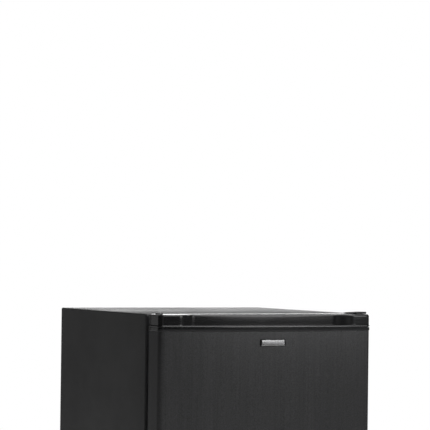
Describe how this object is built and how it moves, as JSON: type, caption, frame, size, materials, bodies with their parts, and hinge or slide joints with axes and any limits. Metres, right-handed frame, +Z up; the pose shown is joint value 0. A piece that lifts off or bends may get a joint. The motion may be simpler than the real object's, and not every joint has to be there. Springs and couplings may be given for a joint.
{
  "type": "mini fridge",
  "caption": "Compact cube refrigerator with a bowed brushed-metal door, recessed top grip, ice box, door racks, and a wire condenser and compressor at the rear.",
  "frame": {"origin": "on the floor, in the middle of the footprint", "axes": "+Z up, -Y out of the door's front, +X to the right seen from the front"},
  "size_m": [0.4524, 0.5214, 0.5064],
  "materials": {
    "charcoal_paint": "satin",
    "black_steel": "brushed",
    "black_plastic": "satin",
    "white_plastic": "satin",
    "clear_plastic": "gloss",
    "gasket_rubber": "matte",
    "black_rubber": "matte",
    "foam": "matte",
    "zinc": "satin",
    "aluminium": "satin",
    "copper": "polished",
    "black_enamel": "gloss",
    "white_enamel": "gloss"
  },
  "bodies": {
    "cabinet": {"cabinet_wrapper": "charcoal_paint", "bottom_pan": "zinc", "back_panel": "zinc", "cabinet_foam": "foam", "cabinet_liner": "white_plastic", "top_hinge_plate": "zinc", "top_hinge_screw_left": "zinc", "top_hinge_screw_right": "zinc", "hinge_cover": "black_plastic", "bottom_hinge_bracket": "zinc", "bottom_hinge_screw_inner": "zinc", "bottom_hinge_screw_outer": "zinc", "rear_foot_left": "black_rubber", "rear_foot_right": "black_rubber", "evaporator_box": "aluminium", "icebox_frame": "white_plastic", "thermostat_housing": "white_plastic", "compressor_tray": "zinc", "cord_gland": "black_rubber", "compressor": "black_enamel", "compressor_grommet_1": "black_rubber", "compressor_grommet_2": "black_rubber", "compressor_grommet_3": "black_rubber", "compressor_grommet_4": "black_rubber", "compressor_bolt_1": "zinc", "compressor_bolt_2": "zinc", "compressor_bolt_3": "zinc", "compressor_bolt_4": "zinc", "terminal_cover": "black_plastic", "condenser_coil": "black_enamel", "condenser_spacer_1": "black_plastic", "condenser_spacer_2": "black_plastic", "condenser_spacer_3": "black_plastic", "condenser_spacer_4": "black_plastic", "suction_pipe": "copper", "discharge_pipe": "copper", "capillary_tube": "copper", "filter_drier": "copper", "evaporation_pan": "black_plastic", "drain_spout": "white_plastic"},
    "door": {"door_panel": "black_steel", "door_top_cap": "black_plastic", "door_bottom_cap": "black_plastic", "door_foam": "foam", "door_liner": "white_plastic", "door_gasket": "gasket_rubber", "badge_plate": "black_plastic", "hinge_hole_plug": "black_plastic", "upper_hinge_bush": "white_plastic", "lower_hinge_bush": "white_plastic"},
    "door_rack_upper": {"door_rack_upper": "clear_plastic"},
    "door_rack_lower": {"door_rack_lower": "clear_plastic"},
    "icebox_flap": {"icebox_flap": "clear_plastic"},
    "drip_tray": {"drip_tray": "clear_plastic"},
    "wire_shelf": {"wire_shelf": "white_enamel"},
    "thermostat_knob": {"thermostat_knob": "white_plastic"},
    "levelling_foot_left": {"levelling_foot_left": "black_plastic"},
    "levelling_foot_right": {"levelling_foot_right": "black_plastic"}
  },
  "joints": [
    {"name": "door_hinge", "type": "hinge", "parent": "cabinet", "child": "door", "pos_m": [0.2115, -0.2053, 0.25], "axis": [0, 0, 1], "range_deg": [0, 125]},
    {"name": "upper_rack_lift", "type": "slide", "parent": "door", "child": "door_rack_upper", "axis": [0, 0, 1], "range_m": [0, 0.02]},
    {"name": "lower_rack_lift", "type": "slide", "parent": "door", "child": "door_rack_lower", "axis": [0, 0, 1], "range_m": [0, 0.02]},
    {"name": "icebox_flap_hinge", "type": "hinge", "parent": "cabinet", "child": "icebox_flap", "pos_m": [-0.023, -0.0663, 0.4425], "axis": [-1, 0, 0], "range_deg": [0, 88]},
    {"name": "drip_tray_slide", "type": "slide", "parent": "cabinet", "child": "drip_tray", "axis": [0, -1, 0], "range_m": [0, 0.085]},
    {"name": "shelf_slide", "type": "slide", "parent": "cabinet", "child": "wire_shelf", "axis": [0, -1, 0], "range_m": [0, 0.062]},
    {"name": "thermostat_turn", "type": "hinge", "parent": "cabinet", "child": "thermostat_knob", "pos_m": [0.155, -0.0253, 0.418], "axis": [0, 1, 0], "range_deg": [0, 300]},
    {"name": "left_foot_turn", "type": "hinge", "parent": "cabinet", "child": "levelling_foot_left", "pos_m": [-0.19, -0.1333, 0], "axis": [0, 0, 1], "continuous": true},
    {"name": "right_foot_turn", "type": "hinge", "parent": "cabinet", "child": "levelling_foot_right", "pos_m": [0.19, -0.1333, 0], "axis": [0, 0, 1], "continuous": true}
  ]
}
